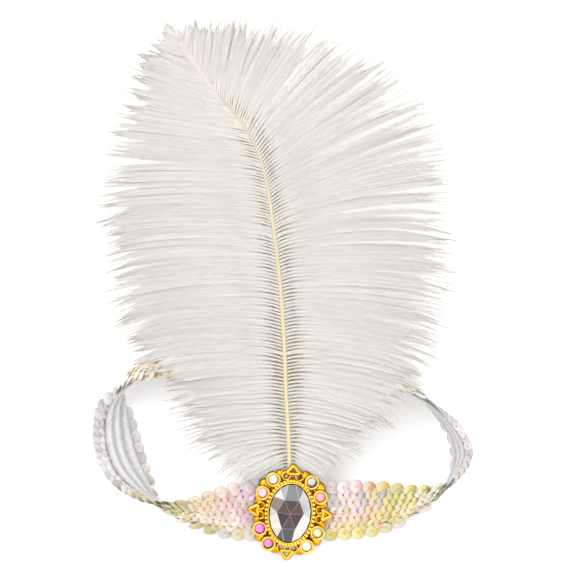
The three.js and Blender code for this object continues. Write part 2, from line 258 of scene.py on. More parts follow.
def makeWovenElastic():  # white knitted polyester elastic: dull and soft, with fine wales and cross courses, and painted shade and highlight across its ribs
    material, tree = newMaterial("wovenElastic")
    waleSpacing, courseSpacing = 0.9, 0.8  # mm, drawn coarser than the 0.4 mm knit so that it shows
    waveStep = 0.314  # the wave texture's own spacing at a scale of 1
    mottleSize = 2.857  # mm
    uv = addNode(tree, "ShaderNodeTexCoord")
    scaled = addNode(tree, "ShaderNodeMapping", {"Scale": (bandLength, 2 * band["tapeWidth"], 1)},
                     {"Vector": uv.outputs["UV"]})
    wales = addNode(tree, "ShaderNodeTexWave",
                    {"bands_direction": "Y", "Scale": waveStep / waleSpacing, "Distortion": 0.6,
                     "Detail": 1.0},
                    {"Vector": scaled.outputs["Vector"]})
    courses = addNode(tree, "ShaderNodeTexWave",
                      {"bands_direction": "X", "Scale": waveStep / courseSpacing, "Distortion": 0.8,
                       "Detail": 1.0},
                      {"Vector": scaled.outputs["Vector"]})
    knit = addNode(tree, "ShaderNodeMath", {"operation": "MULTIPLY"},
                   {0: wales.outputs["Fac"], 1: courses.outputs["Fac"]})
    mottle = addNode(tree, "ShaderNodeTexNoise", {"Scale": 1 / mottleSize, "Detail": 3.0},
                     {"Vector": scaled.outputs["Vector"]})
    parts = addNode(tree, "ShaderNodeSeparateXYZ", links={"Vector": uv.outputs["UV"]})
    # painted shade in the rib grooves and a painted highlight on the crests, by a cosine across the tape
    fullTurn = 2 * math.pi * tape["ribs"] / tape["innerShare"]
    ribTurn = addNode(tree, "ShaderNodeMath", {"operation": "MULTIPLY", 1: fullTurn}, {0: parts.outputs["Y"]})
    ribWave = addNode(tree, "ShaderNodeMath", {"operation": "COSINE"}, {0: ribTurn.outputs["Value"]})
    paintedRibLight = addNode(tree, "ShaderNodeMath", {"operation": "MULTIPLY_ADD", 1: -tape["ribPaintedLight"]},
                     {0: ribWave.outputs["Value"], 2: mottle.outputs["Fac"]})
    shade = addNode(tree, "ShaderNodeMix",
                    {"data_type": "RGBA", 6: hexColour("#aeacaf"), 7: hexColour("#e0dee0")},
                    {"Factor": paintedRibLight.outputs["Value"]})
    bump = addNode(tree, "ShaderNodeBump", {"Strength": 0.5, "Distance": 0.15 * mm},
                   {"Height": knit.outputs["Value"]})
    shader = addNode(tree, "ShaderNodeBsdfPrincipled", {"Roughness": 0.85, "Sheen Weight": 0.25, "IOR": 1.5},
                     {"Base Color": shade.outputs[2], "Normal": bump.outputs["Normal"]})
    closeMaterial(tree, shader)
    return material


elasticTape = wrapGrid("elasticTape", tape["alongSteps"], tape["aroundSteps"], tapePlace)
wear(elasticTape, makeWovenElastic())
putOn(elasticTape, "tape", "elastic_tape")
print(f"tape done: {bandLength:.0f} mm round")


# Sequins: cup discs stitched in rows, the edge rows standing past the tape as scallops

sequins = {
    "radius": 3.1, "innerShare": 0.84, "cup": 0.26, "film": 0.1, "sides": 12, "seed": 7,
    "lean": 5, "edgeLean": 0.8,  # degrees along the band, and across it for each mm from its middle
    "leanSpread": 6, "edgeSpread": 7, "drift": 0.3,  # degrees and mm by which the stitching varies
    "looseRolls": (-45, -25, -8, 14),  # rolls between which the band stands and its top row falls outward
    "crowdRoll": 3,  # below this roll the top row is stitched twice as close
    "rims": ((0.86, 0.2), (0.24, 0.66), (0.11, 0.14)),  # rings in from the edge: share of the radius, drop
    "rimShare": 0.97, "holeShare": 0.2,  # shares of the radius past which the outline and the hole are drawn
    "edgeAt": 10,  # mm across past which a row is an edge row
    # mm across, how many, offset in steps, mm out, how far the ends' colours run in, loose: mm in and lean
    "rows": [
        (-10.45, 63, 0.0, 1.6, 2.0, 0, 0), (10.45, 126, 0.0, 1.6, 0, 0.9, 21),
        (-7.0, 120, 0.5, 1.8, 1.2, 0, 0), (7.0, 120, 0.5, 1.8, 0, 0.6, 0),
        (-3.5, 120, 0.0, 2.0, 0.2, 0, 0), (3.5, 120, 0.0, 2.0, 0, 0.3, 0), (0.0, 120, 0.5, 2.15, 0, 0, 0),
    ],
    "outline": "#a9a2b0", "edgeOutline": 0.85, "innerOutline": 0.25, "hole": "#a8a1a6",
    "silver": "#d6d3da", "silverChance": 0.14, "silverMix": (0.3, 0.7),  # its own colour and silver, partly random tone and partly a painted dark reflection
    "strength": 0.83, "strengthSpread": (0.9, 1.08),
    "borrowChance": 0.13, "borrowReach": 1.3, "wander": 0.3,  # places along the band's rows
    "flashGain": 2.1, "flashStart": 0.9, "flashSpread": (-0.35, 0.45),  # how the flash grows over a disc
    "tints": [  # place along the band's rows, the film's colour and its flash, a painted iridescent sheen
        (0, "#f8e4de", "#f3ccd0"), (0.7, "#f6e9d8", "#eddfb6"), (1.15, "#f8dcd8", "#f262c2"),
        (1.55, "#f5dcc6", "#f58a5e"), (2.0, "#ead79c", "#e6a42c"), (2.7, "#e9df90", "#e2c420"),
        (3.8, "#e5dfaa", "#dfc834"), (4.7, "#ece8e6", "#e0d6c6"), (7, "#f3eff4", "#e2d4e4"),
        (10, "#ecefd4", "#d9e6a2"), (12.5, "#f5e8b4", "#f3c966"), (15.5, "#f8f6fa", "#ece8f2"),
        (19.0, "#f6f4f4", "#dcd8c0"), (20.3, "#bdb274", "#a3964a"), (21.2, "#cabf80", "#b3a656"),
        (22.2, "#f3e5c6", "#e8d096"), (23.2, "#fcece4", "#f9ccbc"), (24, "#fdeff0", "#fbbcd2"),
        (25, "#f8e4de", "#f3ccd0"),
    ],
}


def modelSequin():  # one cup disc: a rim ring drawn in to the hole, then given the film's thickness
    radius, cup = sequins["radius"] * mm, sequins["cup"] * mm
    deselect()
    bpy.ops.mesh.primitive_circle_add(vertices=sequins["sides"], radius=radius)
    disc = bpy.context.object
    bpy.ops.object.mode_set(mode="EDIT")
    bpy.ops.mesh.select_all(action="SELECT")
    reached = 1.0
    for share, drop in sequins["rims"]:
        bpy.ops.mesh.extrude_edges_move()
        bpy.ops.transform.resize(value=(share / reached, share / reached, 1), center_override=(0, 0, 0))
        bpy.ops.transform.translate(value=(0, 0, -drop * cup))
        reached = share
    bpy.ops.mesh.select_all(action="SELECT")
    bpy.ops.mesh.normals_make_consistent(inside=False)
    bpy.ops.object.mode_set(mode="OBJECT")
    film = disc.modifiers.new("film", "SOLIDIFY")
    film.thickness = sequins["film"] * mm
    bpy.ops.object.modifier_apply(modifier="film")
    points = np.array([v.co for v in disc.data.vertices]) / mm
    faces = np.array([p.vertices for p in disc.data.polygons])
    bpy.data.objects.remove(disc)
    return points, faces


def filmTint(place, rng):  # the zone's colours; some discs turn silver-grey as a painted dark reflection and some borrow a neighbour's zone
    keys = [row[0] for row in sequins["tints"]]
    reach = sequins["borrowReach" if rng.random() < sequins["borrowChance"] else "wander"]
    wander = (place + rng.uniform(-reach, reach)) % keys[-1]
    colours = [np.array([hexColour(row[k])[:3] for row in sequins["tints"]]) for k in (1, 2)]
    base, flash = [np.array([np.interp(wander, keys, c[:, i]) for i in range(3)]) for c in colours]
    silver = np.array(hexColour(sequins["silver"])[:3])
    if rng.random() < sequins["silverChance"]:
        own, turned = sequins["silverMix"]
        base = own * base + turned * silver
    strength = sequins["strength"] * rng.uniform(*sequins["strengthSpread"])
    return base * strength, flash * strength


def makeSequins():
    rng = random.Random(sequins["seed"])
    template, templateFaces = modelSequin()
    points, faces, colours = [], [], []
    fromMiddle = np.hypot(template[:, 0], template[:, 1])[:, None]
    rim = fromMiddle > sequins["rimShare"] * sequins["radius"]
    hole = fromMiddle < sequins["holeShare"] * sequins["radius"]
    edgeTone, holeTone = (np.array(hexColour(sequins[key])[:3]) for key in ("outline", "hole"))
    for acrossAt, count, offset, out, endsAhead, tuck, flop in sequins["rows"]:
        edgeRow = abs(acrossAt) > sequins["edgeAt"]
        outline = rim * sequins["edgeOutline" if edgeRow else "innerOutline"]
        grow = 1 if edgeRow else sequins["innerShare"]
        for i in range(count):
            share = shareAt(bandLength * (i + offset) / count)
            here, face, across, tangent = bandFrame(share)
            lean = math.radians(sequins["lean"] + sequins["leanSpread"] * rng.uniform(-1, 1))
            low, lowFull, highFull, high = sequins["looseRolls"]
            roll = math.degrees(bandRoll(share))
            loose = float(smooth(roll, low, lowFull) * (1 - smooth(roll, highFull, high)))
            if flop and i % 2 and roll > sequins["crowdRoll"]:
                continue
            edgeLean = -sequins["edgeLean"] * acrossAt + flop * loose
            edgeLean = math.radians(edgeLean + sequins["edgeSpread"] * rng.uniform(-1, 1))
            tilt = Matrix.Rotation(lean, 3, across) @ Matrix.Rotation(edgeLean, 3, tangent)
            axes = np.array([tilt @ tangent, tilt @ across, tilt @ face])
            here = here + (tangent * rng.uniform(-1, 1) + across * rng.uniform(-1, 1)) * sequins["drift"]
            rise = out - tuck * loose - 0.5 * band["thickness"]
            centre = np.array(here + across * acrossAt + face * rise)
            spin = rng.uniform(0, 2 * math.pi)
            local = template @ np.array(Matrix.Rotation(-spin, 3, "Z"))
            faces.append(templateFaces + len(template) * len(points))
            points.append((grow * local @ axes + centre) * mm)
            ahead = endsAhead if roll > 0 else 0
            place = share * len(band["rows"]) + (ahead if share < 0.5 else -ahead)
            base, flash = filmTint(place, rng)
            side = 0.5 + 0.5 * local[:, 0] / sequins["radius"]  # the film's colour turns to its flash towards one side, a painted iridescent sheen
            weight = sequins["flashGain"] * side - sequins["flashStart"]
            weight = np.clip(weight + rng.uniform(*sequins["flashSpread"]), 0, 1)[:, None]
            tint = base * (1 - weight) + flash * weight
            colours.append(np.where(hole, holeTone, tint * (1 - outline) + edgeTone * outline))
    piece = meshFromArrays("sequinField", np.concatenate(points), np.concatenate(faces))
    paintPoints(piece, "filmTint", np.concatenate(colours))
    return piece


def makePearlFilm():  # pearl-coated polyester film, pressed into cups: gloss and a thin-film sheen on its tint
    material, tree = newMaterial("pearlSequinFilm")
    mottleSize = 1.111  # mm
    tint = addNode(tree, "ShaderNodeVertexColor", {"layer_name": "filmTint"})
    place = addNode(tree, "ShaderNodeTexCoord")
    mottle = addNode(tree, "ShaderNodeTexNoise", {"Scale": 1 / (mottleSize * mm), "Detail": 2.0},
                     {"Vector": place.outputs["Object"]})
    rough = addNode(tree, "ShaderNodeMapRange", {"To Min": 0.22, "To Max": 0.4},
                    {"Value": mottle.outputs["Fac"]})
    shader = addNode(tree, "ShaderNodeBsdfPrincipled",
                     {"IOR": 1.5, "Coat Weight": 0.4, "Coat Roughness": 0.1, "Thin Film Thickness": 320.0,
                      "Thin Film IOR": 1.4},
                     {"Base Color": tint.outputs["Color"], "Roughness": rough.outputs["Result"]})
    closeMaterial(tree, shader)
    return material


sequinField = makeSequins()
wear(sequinField, makePearlFilm())
putOn(sequinField, "sequins", "sequin_face")
print(f"sequins done: {len(sequinField.data.polygons)} faces")


# Brooch place: it sits on the sequins at the front centre, tilted with the band and turned a little clockwise

brooch = {
    "seatGap": 0.3, "turn": -4.5, "crystalHalfWidth": 9.0, "crystalHalfHeight": 12.75,
    "cupRadius": 3.3, "cups": [(8.4, 14.2), (12.6, 7.9)],
}
frontHere, frontFace, frontAcross, _ = bandFrame(0)
broochSeat = frontHere + frontFace * (0.5 * band["thickness"] + brooch["seatGap"])
broochTilt = math.atan2(frontAcross.z, frontAcross.y)
broochPlace = Matrix.Translation(broochSeat * mm) @ Matrix.Rotation(broochTilt, 4, "X")
broochPlace = broochPlace @ Matrix.Rotation(math.radians(brooch["turn"]), 4, "Z")


# Plume: the quill, then the barbs of its two vanes with their fine barbules

plume = {
    "quillRadius": 1.0, "quillTipRadius": 0.1, "quillTaper": 0.4, "quillEnds": 60, "quillGrid": (160, 10),
    "underBrooch": (-6, 8), "seed": 11,  # mm up the brooch between which the quill lies beneath it
    "barbSteps": 20, "stepPower": 1.3,  # steps along a barb, closer beside the quill
    "ribRoot": 0.44, "fillRoot": 0.2, "barbTip": 0.24,  # mm radius of a rib, a fine barb and their ends
    "pointAt": 0.95, "pointCut": 0.6,  # where a barb's end starts to point, and how much of it goes
    "ribbon": 1.25, "flatten": 0.5,  # mm half width of a barb in the closed vane, and how thin it goes
    "comb": (8, 30), "combSpan": 60, "leastComb": 0.2,  # mm in which a long barb's comb melts into the sheet
    "closeSpan": 16, "leastClose": 0.5,  # barbs below this many mm close less
    "thinning": (0.8, 0.94),  # where each barb starts to thin out to its bare strand
    "longShare": 0.4,
    "longPast": (-4.5, -0.5), "restShort": (0, 4), "mostShort": 0.25,  # mm short of the outline, most a share
    "longHair": (4, 7.5), "shortHair": (1, 2.5), "mostHair": 0.16,  # mm bare past the barbules, most a share
    "clumpSize": 4, "parting": (1.6, 6),  # barbs in a wisp, mm by which wisps part and how late
    "bend": (0.08, 2.0, 5.0),  # how soon a barb turns outward: share of its span, least and most mm
    "curlShare": 0.42, "curlLift": 0.7, "droop": 0.08,  # how a barb curls over to its end
    "closing": (140, 158), "closingUp": 1.3, "closingIn": 0.7,  # mm the last barbs close over the quill
    "swayWaves": (4, 9), "swayStarts": (0, 6), "sway": (0.3, 0.3, 0.05),  # mm of slow waves along a barb
    "ribDrop": 0.25, "fillDrop": 1.1, "dropFade": (6, 30),  # mm set low by the quill, mm out where it fades
    # mm and degrees by which the barbs vary
    "spreads": {"root": 0.06, "rise": 0.4, "lift": 0.18, "leave": 1.2, "end": 2.5, "curl": 0.1},
    "barbulesPerMm": 4.6, "barbuleLength": 5.5, "barbuleSizes": (0.6, 1.25), "barbuleShort": 0.06,
    "barbuleRoot": 0.1, "barbuleStart": 0.1, "barbuleLeast": 0.05, "barbuleDrift": 0.004,
    "barbuleLeave": 18, "barbuleTurn": 7, "barbuleLift": 0.07,  # degrees off the barb, and how they vary
    # the fill tint is painted shade on the fine barbs set low between the ribs beside the quill
    "ribTint": "#f4efe6", "fillPaintedShade": "#99948b", "sheetTint": "#f4f3f1", "outerTint": "#f1f0ee",
    "hairTint": "#d0cecb", "tipTint": "#fdf5ee", "toneSpread": (0.975, 1.0),
    "outerShares": (0.45, 0.95), "bareShare": 0.08,  # shares of a barb over which these tints come in
    "peachPlaces": (138, 172), "peachShares": (0.1, 0.8), "softPlaces": (120, 160), "soften": 0.8,
    "leaveAngles": [(-12, 48), (20, 46), (60, 42), (100, 36), (145, 30), (165, 26), (179, 20)],
    "stretches": {  # from and to, in mm up the quill, and mm between barbs
        "lower": (-16, 34, 0.75), "middle": (34, 84, 0.75), "upper": (84, 132, 0.72), "tip": (132, 178, 0.5),
    },
    "lifts": [  # mm up the quill, and how far a barb's end lies above its root
        (-15, -2), (2, 2), (17, 6), (27, 5), (36, 4), (57, -3), (79, -6), (102, -8), (148, -8), (160, -7),
        (179, -2),
    ],
    "quillRows": [
        (-0.4, -8, 14.6), (-1.8, 19, 22.8), (-2.8, 43, 28.5), (-4.6, 67, 33.5), (-6.8, 85, 36.5),
        (-9.7, 105, 38), (-14.1, 122, 38), (-20.7, 134, 37), (-34.8, 152, 34), (-44.3, 166, 30.5),
        (-49, 174, 27.5),
    ],
    "vaneRows": [  # where on the quill; left reach, rise and end angle; the same on the right
        (-15, 13, -9, -55, 12, -9, -55), (-8.8, 22.7, -12, -42, 18, -11.5, -46),
        (-3.6, 34.6, -7.5, -34, 26, -9, -38), (0.3, 42.7, -6.5, -28, 30, -7.5, -34),
        (5, 45, -5, -24, 34, -6.5, -26), (17, 51, -3.5, -14, 48.5, -11.5, -34),
        (27, 54, -4, -14, 57, -11, -30), (33, 65, -5, -26, 60, -10.5, -28), (42, 69, -5.5, -26, 63, -10, -26),
        (57, 74, -5, -24, 73, -6, -18), (68, 75.5, -4.6, -22, 76, -1, -16), (80, 76, -0.5, -16, 77.5, 5, -12),
        (90, 76, 0, -14, 80, 18, 0), (101.5, 76, 0, -10, 78, 33, 12), (110, 74, 4, -4, 69, 43, 26),
        (117.6, 70, 12, 10, 57, 48, 38), (127, 61.5, 12, 12, 39, 50, 48), (134.5, 53, 11, 14, 23.5, 48, 58),
        (142, 46.5, 13, 18, 10.5, 44, 68), (147.5, 40, 15, 22, 5, 38.5, 76), (153, 32, 14.5, 26, 2.5, 31, 82),
        (159, 22, 11.5, 30, 0.5, 24.5, 88), (166, 14.5, 9, 42, 1, 17, 96), (170, 10.5, 8, 52, 0, 12.5, 104),
        (174, 5, 6.5, 75, -2, 7.5, 112), (178, 3.5, 7, 90, -3.5, 7, 118),
    ],
}
quillHeight = plume["quillRadius"] + brooch["seatGap"]
quillRoute = [broochSeat + frontAcross * y + frontFace * quillHeight for y in plume["underBrooch"]]
quillRoute += [Vector(row) for row in plume["quillRows"]]
quillSteps = 400
quillSamples = np.array([curvePoint(quillRoute, i / quillSteps, False) for i in range(quillSteps + 1)])
quillTangents = np.gradient(quillSamples, axis=0)
quillTangents /= np.linalg.norm(quillTangents, axis=1)[:, None]


def quillPlace(u, v):  # the two ends are drawn in to a point
    spot = u * quillSteps
    here = Vector([np.interp(spot, np.arange(quillSteps + 1), quillSamples[:, i]) for i in range(3)])
    tangent = Vector(quillTangents[int(round(spot))])
    side = tangent.cross(up).normalized()
    tip, stout = plume["quillTipRadius"], plume["quillRadius"]
    radius = tip + (stout - tip) * (1 - u) ** plume["quillTaper"]
    radius *= min(1, u * plume["quillEnds"], (1 - u) * plume["quillEnds"])
    turn = 2 * math.pi * v
    return (here + side * radius * math.cos(turn) + side.cross(tangent) * radius * math.sin(turn)) * mm


def vaneColumn(index, y):
    rows = np.array(plume["vaneRows"])
    return np.interp(y, rows[:, 0], rows[:, index])


def onCurves(curves, share):  # points at a share of the way along each barb, any number of them
    spot = np.clip(share, 0, 1) * (curves.shape[1] - 1)
    low = np.minimum(spot.astype(int), curves.shape[1] - 2)
    part = (spot - low)[..., None]
    rows = np.arange(len(curves))[:, None]
    return curves[rows, low] * (1 - part) + curves[rows, low + 1] * part


def unit(vectors):
    return vectors / np.linalg.norm(vectors, axis=-1, keepdims=True)


def combing(along, stretch):  # how far the open comb has melted into the sheet, in mm along a barb
    return smooth(along, plume["comb"][0] * stretch, plume["comb"][1] * stretch)


def makeBarbs(name, direction, low, high, spacing, seed):
    rng = np.random.default_rng(seed)
    steps, spread = plume["barbSteps"], plume["spreads"]
    count = round((high - low) / spacing)
    rib = np.arange(count) % 2 == 0  # every other barb is a stout rib, with a fine one set lower between
    rootY = np.linspace(low, high, count, endpoint=False) + rng.normal(0, spread["root"], count)
    groups = count // plume["clumpSize"] + 1
    clump = np.repeat(rng.normal(0, 1, (groups, 1)), plume["clumpSize"], axis=0)[:count]
    column = 1 if direction < 0 else 4
    reach, rise = vaneColumn(column, rootY), vaneColumn(column + 1, rootY)
    span = np.hypot(reach, rise)
    long = rng.random(count) < plume["longShare"]  # long strands pass the outline, the rest stop short of it
    short = np.where(long, rng.uniform(*plume["longPast"], count), rng.uniform(*plume["restShort"], count))
    hair = np.where(long, rng.uniform(*plume["longHair"], count), rng.uniform(*plume["shortHair"], count))
    scale = 1 - np.minimum(short / span, plume["mostShort"])
    hairStart = (1 - np.minimum(hair / span, plume["mostHair"]))[:, None]
    reach, rise, span = reach * scale, rise * scale, (span * scale)[:, None]
    rise = rise + rng.normal(0, spread["rise"], count)
    liftRows = np.array(plume["lifts"])
    lift = np.interp(rootY, liftRows[:, 0], liftRows[:, 1]) + rng.normal(0, spread["lift"], count)

    # each barb leaves the quill at its angle, turns outward and curls over to its end
    spot = np.interp(rootY, quillSamples[:, 1], np.arange(quillSteps + 1))
    root = np.stack([np.interp(spot, np.arange(quillSteps + 1), quillSamples[:, i]) for i in range(3)], 1)
    tangent = quillTangents[spot.round().astype(int)]
    sideways = unit(np.array([direction, 0, 0]) - direction * tangent[:, :1] * tangent)
    leaveRows = np.array(plume["leaveAngles"])
    leaveAngle = np.interp(rootY, leaveRows[:, 0], leaveRows[:, 1]) + rng.normal(0, spread["leave"], count)
    leaveAngle = np.radians(leaveAngle)[:, None]
    leave = tangent * np.cos(leaveAngle) + sideways * np.sin(leaveAngle)
    tip = root + np.stack([direction * reach, rise, lift], 1)
    endAngle = np.radians(vaneColumn(column + 2, rootY) + rng.normal(0, spread["end"], count))
    arrive = [direction * np.cos(endAngle), np.sin(endAngle), np.full(count, -plume["droop"])]
    arrive = np.stack(arrive, 1)
    ending = smooth(rootY, *plume["closing"])[:, None]  # the last barbs close over the quill's end
    root = root + ending * (np.array([0, 0, plume["closingUp"]]) - plume["closingIn"] * sideways)
    share, least, most = plume["bend"]
    bend = root + leave * np.clip(share * span, least, most)
    curl = tip - arrive * plume["curlShare"] * span
    curl[:, 2] = root[:, 2] + plume["curlLift"] * lift + rng.normal(0, spread["curl"], count)
    t = np.linspace(0, 1, steps + 1)[None, :, None] ** plume["stepPower"]
    curves = (1 - t) ** 3 * root[:, None] + 3 * t * (1 - t) ** 2 * bend[:, None]
    curves = curves + 3 * t * t * (1 - t) * curl[:, None] + t ** 3 * tip[:, None]
    waves, starts = (rng.uniform(*plume[key], count)[:, None, None] for key in ("swayWaves", "swayStarts"))
    curves += np.sin(t * waves + starts) * t * rng.normal(0, plume["sway"], (count, 1, 3))
    drop = np.where(rib, plume["ribDrop"], plume["fillDrop"])[:, None]
    curves[:, :, 2] -= drop * (1 - smooth(t[:, :, 0] * span, *plume["dropFade"]))
    parting = np.stack([-arrive[:, 1], arrive[:, 0], np.zeros(count)], 1) * clump[:, :1]
    apart, late = plume["parting"]
    curves += apart * parting[:, None] * t ** late  # the ends draw together into wisps
    along = unit(np.gradient(curves, axis=1))
    wide = unit(np.cross(np.array([0, 0, 1.0]), along))
    over = np.cross(along, wide)

    thin = rng.uniform(*plume["thinning"], count)[:, None]
    combScale = np.clip(span / plume["combSpan"], plume["leastComb"], 1)
    closeMost = np.clip(span / plume["closeSpan"], plume["leastClose"], 1)

    def closedness(at):  # how far the vane is closed along each barb: open comb, sheet, then loose ends
        return combing(at * span, combScale) * (1 - smooth(at / hairStart, thin, 1.0)) * closeMost

    # each barb is a fine three-sided tube that flattens to a ribbon where the vane is closed
    stout = np.where(rib, plume["ribRoot"], plume["fillRoot"])[:, None, None]
    radius = plume["barbTip"] + (stout - plume["barbTip"]) * (1 - t) ** 3
    radius = radius * (1 - plume["pointCut"] * smooth(t, plume["pointAt"], 1.0))
    closed = closedness(t[:, :, 0])[..., None]
    half, thick = radius + (plume["ribbon"] - radius) * closed, radius * (1 - plume["flatten"] * closed)
    rings = np.stack([curves + over * thick, curves - wide * half - over * 0.5 * thick,
                      curves + wide * half - over * 0.5 * thick], 2)
    tubePoints = rings.reshape(-1, 3)
    base = (np.arange(count)[:, None] * (steps + 1) + np.arange(steps)[None, :]).reshape(-1, 1) * 3
    corners = [(j, (j + 1) % 3, 3 + (j + 1) % 3, 3 + j) for j in range(3)]
    quads = np.concatenate([base + np.array(corner) for corner in corners])
    first = np.arange(count) * (steps + 1) * 3
    last = first + steps * 3
    ends = [np.stack([first, first + 2, first + 1], 1), np.stack([last, last + 1, last + 2], 1)]
    tubeFaces = np.concatenate([quads[:, [0, 1, 2]], quads[:, [0, 2, 3]]] + ends)

    # barbules are slim closed spikes off both sides of the barb, short beside the quill, fewer on short barbs
    many = round(plume["barbulesPerMm"] * float(span.max()))
    at = np.linspace(plume["barbuleStart"], 1.0, many)[None, :]
    at = at + rng.normal(0, plume["barbuleDrift"], (count, many))
    at = np.clip(at, plume["barbuleLeast"], 1) * hairStart
    start = onCurves(curves, at)
    alongAt, wideAt, overAt = (unit(onCurves(v, at)) for v in (along, wide, over))
    side = np.where(np.arange(many) % 2 == 0, 1.0, -1.0)[None, :, None]
    turn = plume["barbuleLeave"] + rng.normal(0, plume["barbuleTurn"], (count, many))
    turn = np.radians(turn)[..., None]
    heading = alongAt * np.cos(turn) + wideAt * np.sin(turn) * side
    heading = unit(heading + overAt * rng.normal(0, plume["barbuleLift"], (count, many, 1)))
    least = plume["barbuleShort"]
    length = plume["barbuleLength"] * (least + (1 - least) * closedness(at))
    length = length * rng.uniform(*plume["barbuleSizes"], (count, many))
    slim = plume["barbuleRoot"]
    spikes = np.stack([start + wideAt * slim, start - wideAt * slim, start + overAt * slim,
                       start + heading * length[..., None]], 2)
    barb, place = np.nonzero(rng.random((count, many)) < span / span.max())
    spikePoints = spikes[barb, place].reshape(-1, 3)
    corner = np.arange(len(barb))[:, None] * 4 + len(tubePoints)
    spikeFaces = np.concatenate([corner + np.array(f) for f in ((0, 1, 3), (1, 2, 3), (2, 0, 3), (0, 2, 1))])
    piece = meshFromArrays(name, np.concatenate([tubePoints, spikePoints]) * mm,
                           np.concatenate([tubeFaces, spikeFaces]))

    # tints: bright ribs beside the quill with the fine barbs between them painted dark as painted shade, a
    # pale sheet, greyer bare ends and a warm tip
    shares = np.concatenate([np.repeat(np.tile(t[0, :, 0], count), 3), np.repeat(at[barb, place], 4)])
    owner = np.concatenate([np.repeat(np.arange(count), (steps + 1) * 3), np.repeat(barb, 4)])
    beside = 1 - combing(shares * span[owner, 0], combScale[owner, 0])
    beside = beside * (1 - plume["soften"] * smooth(rootY[owner], *plume["softPlaces"]))
    warm = smooth(rootY[owner], *plume["peachPlaces"]) * (1 - smooth(shares, *plume["peachShares"]))
    bareFrom = hairStart[owner, 0]
    weights = {
        "ribTint": beside * rib[owner], "fillPaintedShade": beside * ~rib[owner], "sheetTint": 1 - beside,
        "outerTint": smooth(shares, *plume["outerShares"]), "tipTint": warm,
        "hairTint": smooth(shares, bareFrom - plume["bareShare"], bareFrom),
    }
    tint = np.ones((len(shares), 3)) * rng.uniform(*plume["toneSpread"], count)[owner][:, None]
    for key, weight in weights.items():
        colour = np.array(hexColour(plume[key])[:3])
        tint = tint * (1 - weight[:, None] + weight[:, None] * colour)
    paintPoints(piece, "barbTintAndPaintedShade", tint)
    pick(piece)
    bpy.ops.object.mode_set(mode="EDIT")
    bpy.ops.mesh.select_all(action="SELECT")
    bpy.ops.mesh.normals_make_consistent(inside=False)
    bpy.ops.object.mode_set(mode="OBJECT")
    return piece


def makeBarbKeratin():  # bleached ostrich barb: matt warm white, each barb a little different, with painted shade on the fine barbs beside the quill
    material, tree = newMaterial("ostrichBarb")
    patchSize, glowDepth = 25, 1.5  # mm
    shade = addNode(tree, "ShaderNodeVertexColor", {"layer_name": "barbTintAndPaintedShade"})
    place = addNode(tree, "ShaderNodeTexCoord")
    patch = addNode(tree, "ShaderNodeTexNoise", {"Scale": 1 / (patchSize * mm), "Detail": 2.0},
                    {"Vector": place.outputs["Object"]})
    warm = addNode(tree, "ShaderNodeMix",
                   {"data_type": "RGBA", 6: hexColour("#fbf9f7"), 7: hexColour("#f5f3f1")},
                   {"Factor": patch.outputs["Fac"]})
    tint = addNode(tree, "ShaderNodeMix", {"data_type": "RGBA", "blend_type": "MULTIPLY", "Factor": 1.0},
                   {6: warm.outputs[2], 7: shade.outputs["Color"]})
    shader = addNode(tree, "ShaderNodeBsdfPrincipled",
                     {"Roughness": 0.8, "IOR": 1.54, "Sheen Weight": 0.3, "Subsurface Weight": 0.5,
                      "Subsurface Radius": (1, 1, 1), "Subsurface Scale": glowDepth * mm},
                     {"Base Color": tint.outputs[2]})
    closeMaterial(tree, shader)
    return material


def makeQuillKeratin():  # polished horn-like quill: cream, yellower towards the brooch, with a soft gloss
    material, tree = newMaterial("creamQuill")
    fadeFrom, fadeTo, streakSize, streakDepth = -10, 170, 1.667, 0.1  # mm
    place = addNode(tree, "ShaderNodeTexCoord")
    parts = addNode(tree, "ShaderNodeSeparateXYZ", links={"Vector": place.outputs["Object"]})
    climb = addNode(tree, "ShaderNodeMapRange", {"From Min": fadeFrom * mm, "From Max": fadeTo * mm},
                    {"Value": parts.outputs["Y"]})
    tint = addNode(tree, "ShaderNodeMix",
                   {"data_type": "RGBA", 6: hexColour("#d8c695"), 7: hexColour("#b8b0a2")},
                   {"Factor": climb.outputs["Result"]})
    streak = addNode(tree, "ShaderNodeTexNoise", {"Scale": 1 / (streakSize * mm), "Detail": 2.0},
                     {"Vector": place.outputs["Object"]})
    bump = addNode(tree, "ShaderNodeBump", {"Strength": 0.2, "Distance": streakDepth * mm},
                   {"Height": streak.outputs["Fac"]})
    shader = addNode(tree, "ShaderNodeBsdfPrincipled", {"Roughness": 0.35, "IOR": 1.54, "Coat Weight": 0.2},
                     {"Base Color": tint.outputs[2], "Normal": bump.outputs["Normal"]})
    closeMaterial(tree, shader)
    return material


quill = wrapGrid("quill", *plume["quillGrid"], quillPlace)
wear(quill, makeQuillKeratin())
putOn(quill, "plume", "plume")
barbKeratin = makeBarbKeratin()
for number, (stretch, (low, high, spacing)) in enumerate(plume["stretches"].items()):
    for sideName, direction in (("Left", -1), ("Right", 1)):
        seed = plume["seed"] + 2 * number + direction
        barbs = makeBarbs(f"{stretch}Barbs{sideName}", direction, low, high, spacing, seed)
        wear(barbs, barbKeratin)
        putOn(barbs, "plume", "plume")
        print(f"{barbs.name} done: {len(barbs.data.polygons)} faces")


# Brooch setting: oval base with a beaded bezel, eight stone cups and four pierced finials, drawn flat in mm

